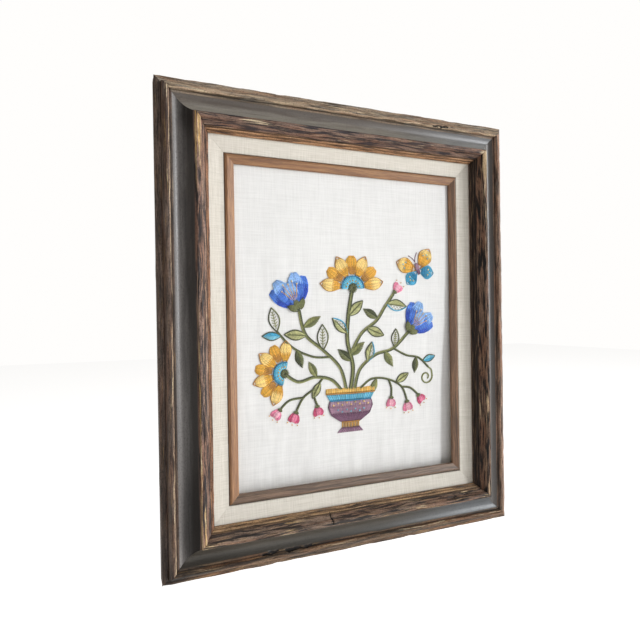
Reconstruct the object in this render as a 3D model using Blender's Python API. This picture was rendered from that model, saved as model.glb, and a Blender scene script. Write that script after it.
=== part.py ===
# Framed crewel embroidery: a stitched linen panel behind a wood fillet, a linen-covered
# liner and a moulded wood frame.
# Metres, +Z up. The frame's back is the plane Y = 0 and its front looks along -Y.
# The origin is the middle of the top rail's back, which lies on the wall.
import math

import bmesh
import bpy
from mathutils import Matrix, Vector
from mathutils.geometry import delaunay_2d_cdt

MM = 0.001

# Frame
FRAME_WIDTH = 424 * MM
FRAME_HEIGHT = 500 * MM
RAIL_BACK_WIDTH = 46 * MM
PIECE_GAP = 0.3 * MM
MITRE_CUT = PIECE_GAP / math.sqrt(2)
CENTRE_DROP = FRAME_HEIGHT / 2 - RAIL_BACK_WIDTH / 2

# Rail section: how far in from the frame's outer edge, and how far in front of the wall
LIP_WIDTH = 5.5 * MM
LIP_RISE = 17 * MM
LIP_INNER_RISE = 17.8 * MM
GROOVE_WIDTH = 1.0 * MM
GROOVE_RISE = 15.5 * MM
OUTER_RIDGE_START = (6.5 * MM, 19.5 * MM)
OUTER_RIDGE_CREST = (10.5 * MM, 26.5 * MM)
OUTER_RIDGE_END = (13.5 * MM, 24.0 * MM)
COVE_PULL = (26.0 * MM, 12.0 * MM)
COVE_END = (36.0 * MM, 33.0 * MM)
INNER_RIDGE_START = (36.5 * MM, 35.2 * MM)
INNER_RIDGE_CREST = (38.5 * MM, 36.0 * MM)
INNER_RIDGE_END = (42.0 * MM, 34.2 * MM)
SLOPE_END = (47.0 * MM, 26.0 * MM)
FIRST_BEAD_START = (47.2 * MM, 25.0 * MM)
FIRST_BEAD_END = (49.0 * MM, 22.2 * MM)
SECOND_BEAD_END = (51.0 * MM, 19.5 * MM)
SIGHT_LIP_RISE = 18.3 * MM
LIP_BULGE = 0.4 * MM
RIDGE_CLIMB_BULGE = 1.4 * MM
RIDGE_FALL_BULGE = 0.6 * MM
SLOPE_SAG = -0.5 * MM
BEAD_BULGE = 0.6 * MM

# Liner section
LINER_START = RAIL_BACK_WIDTH + PIECE_GAP
LINER_OUTER_RISE = 18.0 * MM
LINER_SLOPE_END = (64.0 * MM, 14.5 * MM)
LINER_FACE_END = 67.2 * MM
LINER_SEAT_RISE = 13.4 * MM
LINER_END = 71.7 * MM
LINER_BACK_RISE = 0.5 * MM

# Fillet section
FILLET_START = LINER_FACE_END + PIECE_GAP
FILLET_END = 78.0 * MM
FILLET_OUTER_RISE = 16.5 * MM
FILLET_INNER_RISE = 14.5 * MM
FILLET_BACK_RISE = 11.5 * MM
FILLET_STEP = LINER_END + PIECE_GAP
FILLET_EDGE = 0.6 * MM
FILLET_SHOULDER = 2.6 * MM

# Linen panel: its top lies close behind the fillet, and further down it sinks back
LINEN_WIDTH = FRAME_WIDTH - 2 * (LINER_END + PIECE_GAP)
LINEN_HEIGHT = FRAME_HEIGHT - 2 * (LINER_END + PIECE_GAP)
LINEN_THICKNESS = 1.5 * MM
LINEN_TOP_RISE = 10.5 * MM
LINEN_BOTTOM_RISE = 2.7 * MM
LINEN_BEND = 0.78
LINEN_GRID_COLUMNS = 16
LINEN_GRID_ROWS = 20
PUCKER_DEPTH = 0.25 * MM
PUCKER_WIDTH = 31 * MM
PUCKER_HEIGHT = 44 * MM
FOLD_HEIGHT = 27 * MM
FOLD_LEAN = 70 * MM
FOLD_SHARE = 0.6
EDGE_MARGIN = 12 * MM

# Stitched relief
SATIN_RISE = 1.2 * MM
STEM_RISE = 1.0 * MM
STITCH_SHOULDER = 1.2 * MM
OUTLINE_STEPS = 6
STEM_STEPS = 3
INSET_SHARE = 0.6
MERGE_DISTANCE = 0.25 * MM

# Design, in millimetres across and up from the middle of the opening
# Stem: width, then the points that it runs through
STEMS = {
    "centre": (3.8, ((0, -73), (3, -46), (-4, -16), (-3, 14), (2, 44))),
    "left": (3.4, ((-5, -73), (-13, -47), (-34, -26), (-55, -8), (-63, 20))),
    "right": (3.4, ((5, -73), (12, -50), (32, -34), (56, -27), (77, -8))),
    "left_low": (3.0, ((-11, -73), (-24, -60), (-44, -56), (-64, -60), (-80, -50))),
    "right_high": (3.0, ((1, -30), (14, -8), (33, 6), (44, 22), (56, 38))),
    "right_droop": (2.6, ((11, -73), (28, -62), (50, -64), (68, -74), (75, -90))),
    "left_droop": (2.6, ((-34, -57), (-44, -68), (-58, -78), (-66, -92))),
    "left_middle": (2.6, ((-24, -34), (-46, -33), (-70, -22), (-88, -4))),
    "right_low": (2.6, ((56, -27), (74, -36), (92, -40), (106, -52))),
    "right_outer_bell": (2.2, ((68, -74), (80, -76), (90, -84))),
    "right_inner_bell": (2.2, ((50, -64), (54, -74), (54, -84))),
    "left_outer_bell": (2.2, ((-58, -78), (-74, -80), (-84, -88))),
    "left_inner_bell": (2.2, ((-44, -68), (-45, -78), (-42, -87))),
}

# Leaf: across, up, angle, length, width
LEAVES = (
    (-1, -34, 40, 24, 11),
    (1, -40, 140, 22, 10),
    (-4, -8, 136, 26, 11),
    (-3, 12, 44, 25, 11),
    (-34, -26, 92, 29, 13),
    (-58, 0, 30, 24, 10),
    (-54, -9, 176, 26, 11),
    (-66, -25, -70, 21, 10),
    (-88, -4, 104, 27, 12),
    (-84, -9, 178, 21, 9),
    (-42, -56, 118, 20, 9),
    (-38, -62, -118, 20, 9),
    (22, -42, 76, 24, 11),
    (44, -30, -58, 22, 10),
    (58, -26, 86, 22, 10),
    (88, -39, -96, 19, 9),
    (98, -44, 18, 18, 8),
    (20, -2, -22, 25, 11),
    (35, 9, 150, 22, 10),
    (46, 26, -8, 28, 13),
    (34, -62, -112, 20, 9),
    (60, -68, 30, 20, 9),
)

# Fan flower: across, up, angle, size
FAN_FLOWERS = (
    (2, 44, 92, 42),
    (-80, -50, 168, 38),
)
FAN_PETALS = 7
FAN_SPREAD = 27
FAN_START = 0.20
FAN_LENGTH = 0.76
FAN_WIDTH = 0.34
FAN_BELLY = 0.62

# Cup flower: across, up, angle, size
CUP_FLOWERS = (
    (-63, 20, 116, 46),
    (77, -8, 48, 44),
)
# Cup petal: turn from the flower's angle, width and length as shares of its size
CUP_PETALS = (
    (34, 0.34, 0.90),
    (-34, 0.34, 0.90),
    (17, 0.40, 0.98),
    (-17, 0.40, 0.98),
)

# Bell flower: across, up, angle, length
BELLS = (
    (75, -90, -80, 16),
    (90, -84, -50, 15),
    (54, -84, -92, 15),
    (-66, -92, -110, 16),
    (-84, -88, -130, 15),
    (-42, -87, -80, 15),
    (56, 38, 52, 16),
)
BELL_WIDTH = 0.72
BELL_BELLY = 0.64

# Butterfly: across, up, angle of its body, length of its upper wings
BUTTERFLY = (90, 66, 110, 31)
# Wing: turn from the body, length and width as shares of the upper wings' length
WINGS = (
    (52, 1.0, 0.58),
    (-52, 1.0, 0.58),
    (118, 0.72, 0.52),
    (-118, 0.72, 0.52),
)
WING_BELLY = 0.62

# Vase: height and half width, from the rim to the foot
VASE_OUTLINE = (
    (-71, 31),
    (-76, 32),
    (-79, 27),
    (-85, 26),
    (-92, 28),
    (-101, 24),
    (-109, 12),
    (-113, 6),
    (-117, 12),
    (-122, 17),
)

# Colours
WALNUT = (0.115, 0.068, 0.042)
LINER_LINEN = (0.74, 0.70, 0.60)
FILLET_WOOD = (0.33, 0.17, 0.09)
PANEL_LINEN = (0.86, 0.85, 0.82)


def clear_scene():
    for item in list(bpy.data.objects):
        bpy.data.objects.remove(item, do_unlink=True)


def plain_material(name, colour, roughness):
    material = bpy.data.materials.new(name)
    material.use_nodes = True
    shader = material.node_tree.nodes["Principled BSDF"]
    shader.inputs["Base Color"].default_value = (*colour, 1.0)
    shader.inputs["Roughness"].default_value = roughness
    shader.inputs["Metallic"].default_value = 0.0
    return material


def add_object(name, mesh_builder, material):
    mesh = bpy.data.meshes.new(name)
    mesh_builder.to_mesh(mesh)
    mesh_builder.free()
    mesh.materials.append(material)
    item = bpy.data.objects.new(name, mesh)
    bpy.context.scene.collection.objects.link(item)
    return item


# Frame lengths

def bowed(start, end, bulge, steps):
    """Points after start up to end, on a bow that stands out by bulge in its middle."""
    along = Vector(end) - Vector(start)
    out = Vector((-along.y, along.x)).normalized()
    points = []
    for step in range(1, steps + 1):
        share = step / steps
        point = Vector(start) + along * share + out * bulge * 4 * share * (1 - share)
        points.append(point.to_tuple())
    return points


def pulled(start, pull, end, steps):
    """Points after start up to end, on a curve drawn towards pull."""
    points = []
    for step in range(1, steps + 1):
        share = step / steps
        first = Vector(start).lerp(Vector(pull), share)
        second = Vector(pull).lerp(Vector(end), share)
        points.append(first.lerp(second, share).to_tuple())
    return points


def rail_section():
    lip_end = (LIP_WIDTH, LIP_INNER_RISE)
    section = [(0.0, 0.0), (0.0, LIP_RISE)]
    section += bowed((0.0, LIP_RISE), lip_end, LIP_BULGE, 3)
    section.append((LIP_WIDTH + GROOVE_WIDTH / 2, GROOVE_RISE))
    section.append(OUTER_RIDGE_START)
    section += bowed(OUTER_RIDGE_START, OUTER_RIDGE_CREST, RIDGE_CLIMB_BULGE, 4)
    section += bowed(OUTER_RIDGE_CREST, OUTER_RIDGE_END, RIDGE_FALL_BULGE, 3)
    section += pulled(OUTER_RIDGE_END, COVE_PULL, COVE_END, 9)
    section.append(INNER_RIDGE_START)
    section += bowed(INNER_RIDGE_START, INNER_RIDGE_CREST, LIP_BULGE, 2)
    section += bowed(INNER_RIDGE_CREST, INNER_RIDGE_END, RIDGE_FALL_BULGE, 3)
    section += bowed(INNER_RIDGE_END, SLOPE_END, SLOPE_SAG, 4)
    section.append(FIRST_BEAD_START)
    section += bowed(FIRST_BEAD_START, FIRST_BEAD_END, BEAD_BULGE, 3)
    section += bowed(FIRST_BEAD_END, SECOND_BEAD_END, BEAD_BULGE, 3)
    section.append((SECOND_BEAD_END[0], SIGHT_LIP_RISE))
    section.append((RAIL_BACK_WIDTH, SIGHT_LIP_RISE))
    section.append((RAIL_BACK_WIDTH, 0.0))
    return section


def liner_section():
    return [
        (LINER_START, LINER_BACK_RISE),
        (LINER_START, LINER_OUTER_RISE),
        LINER_SLOPE_END,
        (LINER_FACE_END, LINER_SLOPE_END[1]),
        (LINER_FACE_END, LINER_SEAT_RISE),
        (LINER_END, LINER_SEAT_RISE),
        (LINER_END, LINER_BACK_RISE),
    ]


def fillet_section():
    seat = LINER_SEAT_RISE + PIECE_GAP
    return [
        (FILLET_START, seat),
        (FILLET_START, FILLET_OUTER_RISE - FILLET_SHOULDER),
        (FILLET_START + FILLET_SHOULDER, FILLET_OUTER_RISE),
        (FILLET_END - FILLET_EDGE, FILLET_INNER_RISE),
        (FILLET_END, FILLET_INNER_RISE - FILLET_EDGE),
        (FILLET_END, FILLET_BACK_RISE),
        (FILLET_STEP, FILLET_BACK_RISE),
        (FILLET_STEP, seat),
    ]


def mitred_length(name, section, side, material):
    """One side of a frame: the section runs between two 45 degree cuts."""
    upright = side in ("left", "right")
    half_run = (FRAME_HEIGHT if upright else FRAME_WIDTH) / 2
    reach = (FRAME_WIDTH if upright else FRAME_HEIGHT) / 2
    turns = {"top": 0, "left": 1, "bottom": 2, "right": 3}
    builder = bmesh.new()
    ring = []
    for inset, rise in section:
        end = half_run - inset - MITRE_CUT
        ring.append(builder.verts.new((-end, -rise, reach - inset)))
    cut = builder.faces.new(ring)
    grown = bmesh.ops.extrude_face_region(builder, geom=[cut])
    for vertex in grown["geom"]:
        if isinstance(vertex, bmesh.types.BMVert):
            vertex.co.x = -vertex.co.x
    bmesh.ops.recalc_face_normals(builder, faces=builder.faces)
    turn = Matrix.Rotation(-math.radians(90 * turns[side]), 4, "Y")
    drop = Matrix.Translation((0, 0, -CENTRE_DROP))
    builder.transform(drop @ turn)
    return add_object(name, builder, material)


def build_frame_set(prefix, section, material):
    for side in ("top", "bottom", "left", "right"):
        mitred_length(f"{prefix}_{side}", section, side, material)


# Embroidery outlines, in metres across and up from the middle of the opening

def along(across, up, angle, distance):
    turn = math.radians(angle)
    return across + distance * math.cos(turn), up + distance * math.sin(turn)


def petal_outline(across, up, angle, length, width, belly=0.5):
    """A pointed oval that leaves (across, up) at angle; belly is where it is widest."""
    power = math.log(0.5) / math.log(belly)
    turn = math.radians(angle)
    upper = []
    for step in range(1, OUTLINE_STEPS):
        share = step / OUTLINE_STEPS
        upper.append((share * length, width / 2 * math.sin(math.pi * share ** power)))
    lower = [(x, -y) for x, y in reversed(upper)]
    outline = []
    for x, y in [(0, 0)] + upper + [(length, 0)] + lower:
        px = across + x * math.cos(turn) - y * math.sin(turn)
        py = up + x * math.sin(turn) + y * math.cos(turn)
        outline.append(Vector((px, py)) * MM)
    return outline


def flowing_line(points, steps):
    """A smooth line through the points."""
    held = [points[0], *points, points[-1]]
    line = []
    for index in range(1, len(held) - 2):
        before, start, end, after = (Vector(p) for p in held[index - 1:index + 3])
        for step in range(steps):
            t = step / steps
            bend = start * 2 + (end - before) * t
            bend += (before * 2 - start * 5 + end * 4 - after) * t ** 2
            bend += (start * 3 - before - end * 3 + after) * t ** 3
            line.append(bend * 0.5 * MM)
    line.append(Vector(points[-1]) * MM)
    return line


def satin_outlines():
    outlines = [petal_outline(*leaf) for leaf in LEAVES]
    for across, up, angle, size in FAN_FLOWERS:
        for petal in range(FAN_PETALS):
            lean = angle + (petal - (FAN_PETALS - 1) / 2) * FAN_SPREAD
            root = along(across, up, lean, size * FAN_START)
            outlines.append(petal_outline(*root, lean, size * FAN_LENGTH, size * FAN_WIDTH, FAN_BELLY))
    for across, up, angle, size in CUP_FLOWERS:
        for lean, width, length in CUP_PETALS:
            outlines.append(petal_outline(across, up, angle + lean, size * length, size * width))
    for across, up, angle, length in BELLS:
        outlines.append(petal_outline(across, up, angle, length, length * BELL_WIDTH, BELL_BELLY))
    across, up, body, size = BUTTERFLY
    for lean, length, width in WINGS:
        outlines.append(petal_outline(across, up, body + lean, size * length, size * width, WING_BELLY))
    outlines.append(vase_outline())
    return outlines


def vase_outline():
    right = [Vector((half, height)) * MM for height, half in VASE_OUTLINE]
    left = [Vector((-half, height)) * MM for height, half in reversed(VASE_OUTLINE)]
    return right + left


def distance_to_segment(point, start, end):
    run = end - start
    share = (point - start).dot(run) / run.length_squared
    share = min(1.0, max(0.0, share))
    return (point - start - run * share).length


def is_inside(point, outline):
    inside = False
    for start, end in zip(outline, outline[1:] + outline[:1]):
        if (start.y > point.y) != (end.y > point.y):
            crossing = start.x + (point.y - start.y) * (end.x - start.x) / (end.y - start.y)
            if point.x < crossing:
                inside = not inside
    return inside


def depth_inside(point, outline):
    if not is_inside(point, outline):
        return 0.0
    edges = zip(outline, outline[1:] + outline[:1])
    return min(distance_to_segment(point, start, end) for start, end in edges)


def inset_outline(outline, inset):
    """The outline drawn in by inset towards the inside of each corner."""
    drawn = []
    count = len(outline)
    centre = sum(outline, Vector((0, 0))) / count
    for index, point in enumerate(outline):
        along_edge = (outline[(index + 1) % count] - outline[index - 1]).normalized()
        inward = Vector((-along_edge.y, along_edge.x))
        if inward.dot(centre - point) < 0:
            inward = -inward
        moved = point + inward * inset
        if depth_inside(moved, outline) > inset * INSET_SHARE:
            drawn.append(moved)
    return drawn


def linen_shape():
    """The stitched areas and stems, and the lines that the linen's mesh follows."""
    satins = satin_outlines()
    stems = [(width * MM, flowing_line(points, STEM_STEPS)) for width, points in STEMS.values()]
    loops = []
    for outline in satins:
        loops.append(outline)
        inner = inset_outline(outline, STITCH_SHOULDER)
        if len(inner) > 2:
            loops.append(inner)
    lines = []
    for width, line in stems:
        left = []
        right = []
        for index, point in enumerate(line):
            start = line[max(index - 1, 0)]
            end = line[min(index + 1, len(line) - 1)]
            run = (end - start).normalized()
            out = Vector((-run.y, run.x)) * width / 2
            left.append(point + out)
            right.append(point - out)
        loops.append(left + right[::-1])
        lines.append(line)
    return satins, stems, loops, lines


def stitch_height(point, satins, stems):
    height = 0.0
    for outline in satins:
        depth = depth_inside(point, outline)
        height = max(height, SATIN_RISE * min(1.0, depth / STITCH_SHOULDER))
    for width, line in stems:
        near = min(distance_to_segment(point, a, b) for a, b in zip(line, line[1:]))
        depth = width / 2 - near
        height = max(height, STEM_RISE * min(1.0, depth / STITCH_SHOULDER))
    return height


def linen_rise(point):
    """The front of the bare cloth: it sinks back below its bend, and draws up between its edges."""
    share = (point.y + LINEN_HEIGHT / 2) / LINEN_HEIGHT
    sunk = max(0.0, 1.0 - share / LINEN_BEND)
    lean = LINEN_TOP_RISE - (LINEN_TOP_RISE - LINEN_BOTTOM_RISE) * sunk ** 2 * (3 - 2 * sunk)
    pucker = math.sin(point.x / PUCKER_WIDTH + 0.6) * math.cos(point.y / PUCKER_HEIGHT)
    fold = math.sin(point.y / FOLD_HEIGHT + point.x / FOLD_LEAN)
    room_x = LINEN_WIDTH / 2 - abs(point.x)
    room_y = LINEN_HEIGHT / 2 - abs(point.y)
    hold = min(1.0, max(0.0, min(room_x, room_y) / EDGE_MARGIN))
    return lean + PUCKER_DEPTH * (pucker + FOLD_SHARE * fold) * hold


def border_points():
    """The cloth's edge, point by point."""
    half_x = LINEN_WIDTH / 2
    half_y = LINEN_HEIGHT / 2
    corners = [(-half_x, -half_y), (half_x, -half_y), (half_x, half_y), (-half_x, half_y)]
    counts = [LINEN_GRID_COLUMNS, LINEN_GRID_ROWS, LINEN_GRID_COLUMNS, LINEN_GRID_ROWS]
    points = []
    for index, count in enumerate(counts):
        start = Vector(corners[index])
        end = Vector(corners[(index + 1) % 4])
        points += [start.lerp(end, step / count) for step in range(count)]
    return points


def grid_points():
    points = []
    for row in range(1, LINEN_GRID_ROWS):
        for column in range(1, LINEN_GRID_COLUMNS):
            x = LINEN_WIDTH * (column / LINEN_GRID_COLUMNS - 0.5)
            y = LINEN_HEIGHT * (row / LINEN_GRID_ROWS - 0.5)
            points.append(Vector((x, y)))
    return points


def triangulated(points, edges, border_count):
    """Triangles inside the border, which is the first border_count points."""
    border = [(index, (index + 1) % border_count) for index in range(border_count)]
    result = delaunay_2d_cdt(points, border + edges, [], 1, MERGE_DISTANCE)
    return result[0], result[2], result[3]


def clear_of_motifs(point, satins, stems):
    """True where a grid point is outside every stitched area and not close to its edge."""
    for outline in satins:
        if is_inside(point, outline):
            return False
    for width, line in stems:
        if min(distance_to_segment(point, a, b) for a, b in zip(line, line[1:])) < width:
            return False
    return True


def build_linen(material):
    satins, stems, loops, lines = linen_shape()
    border = border_points()
    inner = grid_points()
    points = border + [point for point in inner if clear_of_motifs(point, satins, stems)]
    edges = []
    for loop in loops:
        first = len(points)
        points += loop
        edges += [(first + i, first + (i + 1) % len(loop)) for i in range(len(loop))]
    for line in lines:
        first = len(points)
        points += line
        edges += [(first + i, first + i + 1) for i in range(len(line) - 1)]

    builder = bmesh.new()
    front_points, front_faces, front_origins = triangulated(points, edges, len(border))
    front = []
    for point in front_points:
        rise = linen_rise(point) + stitch_height(point, satins, stems)
        front.append(builder.verts.new((point.x, -rise, point.y)))
    for face in front_faces:
        builder.faces.new([front[index] for index in face])

    back_points, back_faces, back_origins = triangulated(border + inner, [], len(border))
    back = []
    for point in back_points:
        rise = linen_rise(point) - LINEN_THICKNESS
        back.append(builder.verts.new((point.x, -rise, point.y)))
    for face in back_faces:
        builder.faces.new([back[index] for index in face])

    front_edge = edge_vertices(front, front_origins, len(border))
    back_edge = edge_vertices(back, back_origins, len(border))
    for index in range(len(border)):
        after = (index + 1) % len(border)
        builder.faces.new((front_edge[index], front_edge[after], back_edge[after], back_edge[index]))
    bmesh.ops.recalc_face_normals(builder, faces=builder.faces)
    builder.transform(Matrix.Translation((0, 0, -CENTRE_DROP)))
    return add_object("stitched_linen", builder, material)


def edge_vertices(vertices, origins, count):
    """The vertex that each border point became."""
    found = {}
    for vertex, sources in zip(vertices, origins):
        for source in sources:
            if source < count:
                found[source] = vertex
    return [found[index] for index in range(count)]


clear_scene()
build_frame_set("frame_rail", rail_section(), plain_material("walnut", WALNUT, 0.55))
build_frame_set("liner", liner_section(), plain_material("liner_linen", LINER_LINEN, 0.9))
build_frame_set("fillet", fillet_section(), plain_material("fillet_wood", FILLET_WOOD, 0.5))
build_linen(plain_material("panel_linen", PANEL_LINEN, 0.9))
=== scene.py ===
import bisect
import math
import random

import bmesh
import bpy
from mathutils import Matrix, Vector, noise


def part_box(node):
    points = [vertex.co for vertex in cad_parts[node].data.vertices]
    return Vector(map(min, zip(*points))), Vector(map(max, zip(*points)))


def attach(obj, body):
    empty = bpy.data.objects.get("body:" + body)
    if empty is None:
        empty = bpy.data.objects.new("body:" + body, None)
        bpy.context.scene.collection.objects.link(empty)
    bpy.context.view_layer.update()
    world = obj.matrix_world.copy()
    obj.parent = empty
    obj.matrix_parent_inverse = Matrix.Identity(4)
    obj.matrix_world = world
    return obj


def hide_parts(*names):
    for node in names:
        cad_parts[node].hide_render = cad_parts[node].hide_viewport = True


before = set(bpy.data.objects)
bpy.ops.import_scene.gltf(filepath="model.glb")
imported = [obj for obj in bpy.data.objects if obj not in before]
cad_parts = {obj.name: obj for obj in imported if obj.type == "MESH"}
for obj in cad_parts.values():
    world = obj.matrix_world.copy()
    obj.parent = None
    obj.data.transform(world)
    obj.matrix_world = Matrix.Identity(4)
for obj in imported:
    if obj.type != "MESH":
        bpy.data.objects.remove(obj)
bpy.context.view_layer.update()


# The frame is a deep wood moulding, cut into four mitred lengths and joined at the corners.
# It is coloured charcoal brown by staining. Its outer lip and two ridges are chipped and rubbed back to
# tan wood, and the cove between the ridges is left smooth. Each side's colours also carry painted
# light and shade, and the cove a painted sky reflection.
MM = 0.001
FRAME_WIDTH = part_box("frame_rail_right")[1][0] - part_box("frame_rail_left")[0][0]
FRAME_TOP, FRAME_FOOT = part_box("frame_rail_top")[1][2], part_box("frame_rail_bottom")[0][2]
FRAME_HEIGHT = FRAME_TOP - FRAME_FOOT
FRAME_MIDDLE = (FRAME_TOP + FRAME_FOOT) / 2
MITRE_CUT = 0.1 * MM
SIDES = {"top": 0, "left": 1, "bottom": 2, "right": 3}

# The rail's section in runs: where each ends, in millimetres in from the outer edge and in front of
# the wall, how far it bulges or the point that it is drawn towards, and its steps
RAIL_RUNS = (
    ((0.0, 17.0), 0.0, 6),  # outer side
    ((5.5, 17.8), 0.4, 7),  # lip
    ((6.0, 15.2), 0.0, 2),  # groove
    ((6.5, 19.5), 0.0, 2),
    ((10.5, 26.5), 1.4, 9),  # outer ridge
    ((13.5, 24.0), 0.6, 6),
    ((36.0, 33.0), (26.0, 12.0), 40),  # cove
    ((36.5, 35.2), 0.0, 2),
    ((38.5, 36.0), 0.4, 4),  # inner ridge
    ((42.0, 34.2), 0.6, 6),
    ((47.0, 26.0), -0.5, 9),  # slope
    ((47.2, 25.0), 0.0, 1),
    ((49.0, 22.2), 0.7, 6),  # first bead
    ((49.1, 21.7), 0.0, 1),
    ((51.0, 19.5), 0.7, 6),  # second bead
    ((51.0, 18.3), 0.0, 1),  # sight edge
    ((46.0, 18.3), 0.0, 1),  # rabbet
    ((46.0, 0.0), 0.0, 2),
)
COVE_GROOVE = 14.7
RAIL_STEPS = 260
# How far the outer and the inner ridge are rubbed through on each side
RUBBED = {"top": (1.05, 0.45), "left": (1.05, 0.60), "bottom": (0.66, 0.50), "right": (0.40, 0.50)}
# Gouges: place along the length, inset, length, width, depth and how black they are
GOUGES = {
    "top": ((20, 43, 26, 1.6, 0.9, 0.2), (-95, 42, 20, 1.2, 0.8, 0.0), (118, 12.0, 34, 1.5, 0.8, 1.2)),
    "left": ((120, 43.5, 60, 1.2, 0.8, 0.0), (-60, 42, 34, 1.4, 0.9, 0.5)),
    "bottom": ((-118, 42.5, 15, 1.3, 1.5, 0.0), (-131, 40.8, 12, 1.1, 1.4, 0.0), (-139, 43.6, 9, 1.2, 1.3, 0.0),
               (37, 43.0, 2.0, 6.5, 1.4, 2.0), (104, 15.2, 24, 1.9, 0.9, 1.2), (82, 14.6, 24, 1.5, 0.8, 1.2),
               (60, 14.8, 18, 1.5, 0.8, 1.2), (60, 42.0, 30, 2.0, 0.7, 0.8)),
    "right": ((60, 40, 30, 1.3, 0.8, 0.3), (-90, 42, 40, 1.5, 0.9, 0.8), (10, 41, 24, 1.8, 0.8, 0.9)),
}
BARE = (0.0, 0.0, 0.0, 0.0)


def section_of(start, runs):
    """The points round a section, from start through every run."""
    start = Vector(start)
    section = [start]
    for end, bend, steps in runs:
        end = Vector(end)
        run = end - start
        out = Vector((-run.y, run.x)).normalized()
        for step in range(1, steps + 1):
            share = step / steps
            if isinstance(bend, tuple):
                first = start.lerp(Vector(bend), share)
                section.append(first.lerp(Vector(bend).lerp(end, share), share))
            else:
                section.append(start + run * share + out * bend * 4 * share * (1 - share))
        start = end
    return section


def hump(place, centre, width):
    """1 at the centre, and next to nothing further off than the width."""
    return math.exp(-((place - centre) / width) ** 2)


def limited(value):
    return min(1.0, max(0.0, value))


def grain_at(along, across, seed):
    return noise.noise(Vector((along, across, seed)))


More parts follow.
